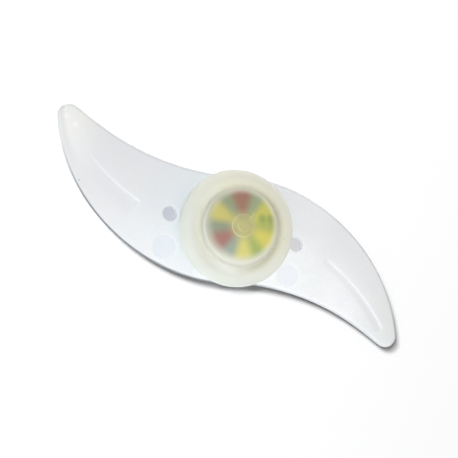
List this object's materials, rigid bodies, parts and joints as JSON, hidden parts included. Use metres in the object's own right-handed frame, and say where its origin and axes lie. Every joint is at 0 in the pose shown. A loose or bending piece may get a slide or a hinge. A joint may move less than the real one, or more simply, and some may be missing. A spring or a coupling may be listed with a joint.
{
  "type": "bicycle spoke light",
  "caption": "S-shaped frosted wing that lights up on a bicycle wheel, with a soft round push cap over colour fields and a coin cell behind.",
  "frame": {"origin": "centre of the hub's flat back rim", "axes": "+X from the hub through the tie hole of the arm whose tip hangs towards -Y, +Y square to it in the wing's plane, +Z out of the soft cap"},
  "size_m": [0.1368, 0.0576, 0.0202],
  "materials": {
    "wing_plastic": "frosted, milky and translucent",
    "cap_silicone": "soft frosted silicone, translucent",
    "clear_plastic": "clear moulded plastic",
    "colour_film": "film printed with coloured fields",
    "white_plastic": "moulded",
    "board": "solder mask over glass fibre",
    "lamp_clear": "clear cast epoxy",
    "switch_black": "moulded",
    "spring_steel": "pressed sheet",
    "stem_dark": "moulded",
    "chip_resin": "drop of cured resin",
    "chip_dark": "fired ceramic with a dark coat",
    "chip_tan": "fired ceramic",
    "contact_metal": "nickel-plated strip",
    "cell_steel": "drawn steel can",
    "seal_rubber": "moulded ring",
    "screw_steel": "plated steel"
  },
  "bodies": {
    "body": {"wing": "wing_plastic", "front_cap": "cap_silicone", "back_cover": "wing_plastic", "inner_cover": "clear_plastic", "colour_disc": "colour_film", "circuit_board": "board", "led_right": "lamp_clear", "led_left": "lamp_clear", "switch_base": "switch_black", "switch_dome": "spring_steel", "switch_plate": "spring_steel", "control_chip": "chip_resin", "resistor_a": "chip_dark", "resistor_b": "chip_dark", "capacitor": "chip_tan", "cell_clip": "contact_metal", "cell_spring": "contact_metal", "coin_cell": "cell_steel", "cover_seal": "seal_rubber", "cover_screws": "screw_steel"},
    "press": {"plunger": "white_plastic", "switch_stem": "stem_dark"}
  },
  "joints": [
    {"name": "switch_press", "type": "slide", "parent": "body", "child": "press", "axis": [0, 0, -1], "range_m": [0, 0.0003], "stiffness_N_per_m": 6000}
  ]
}
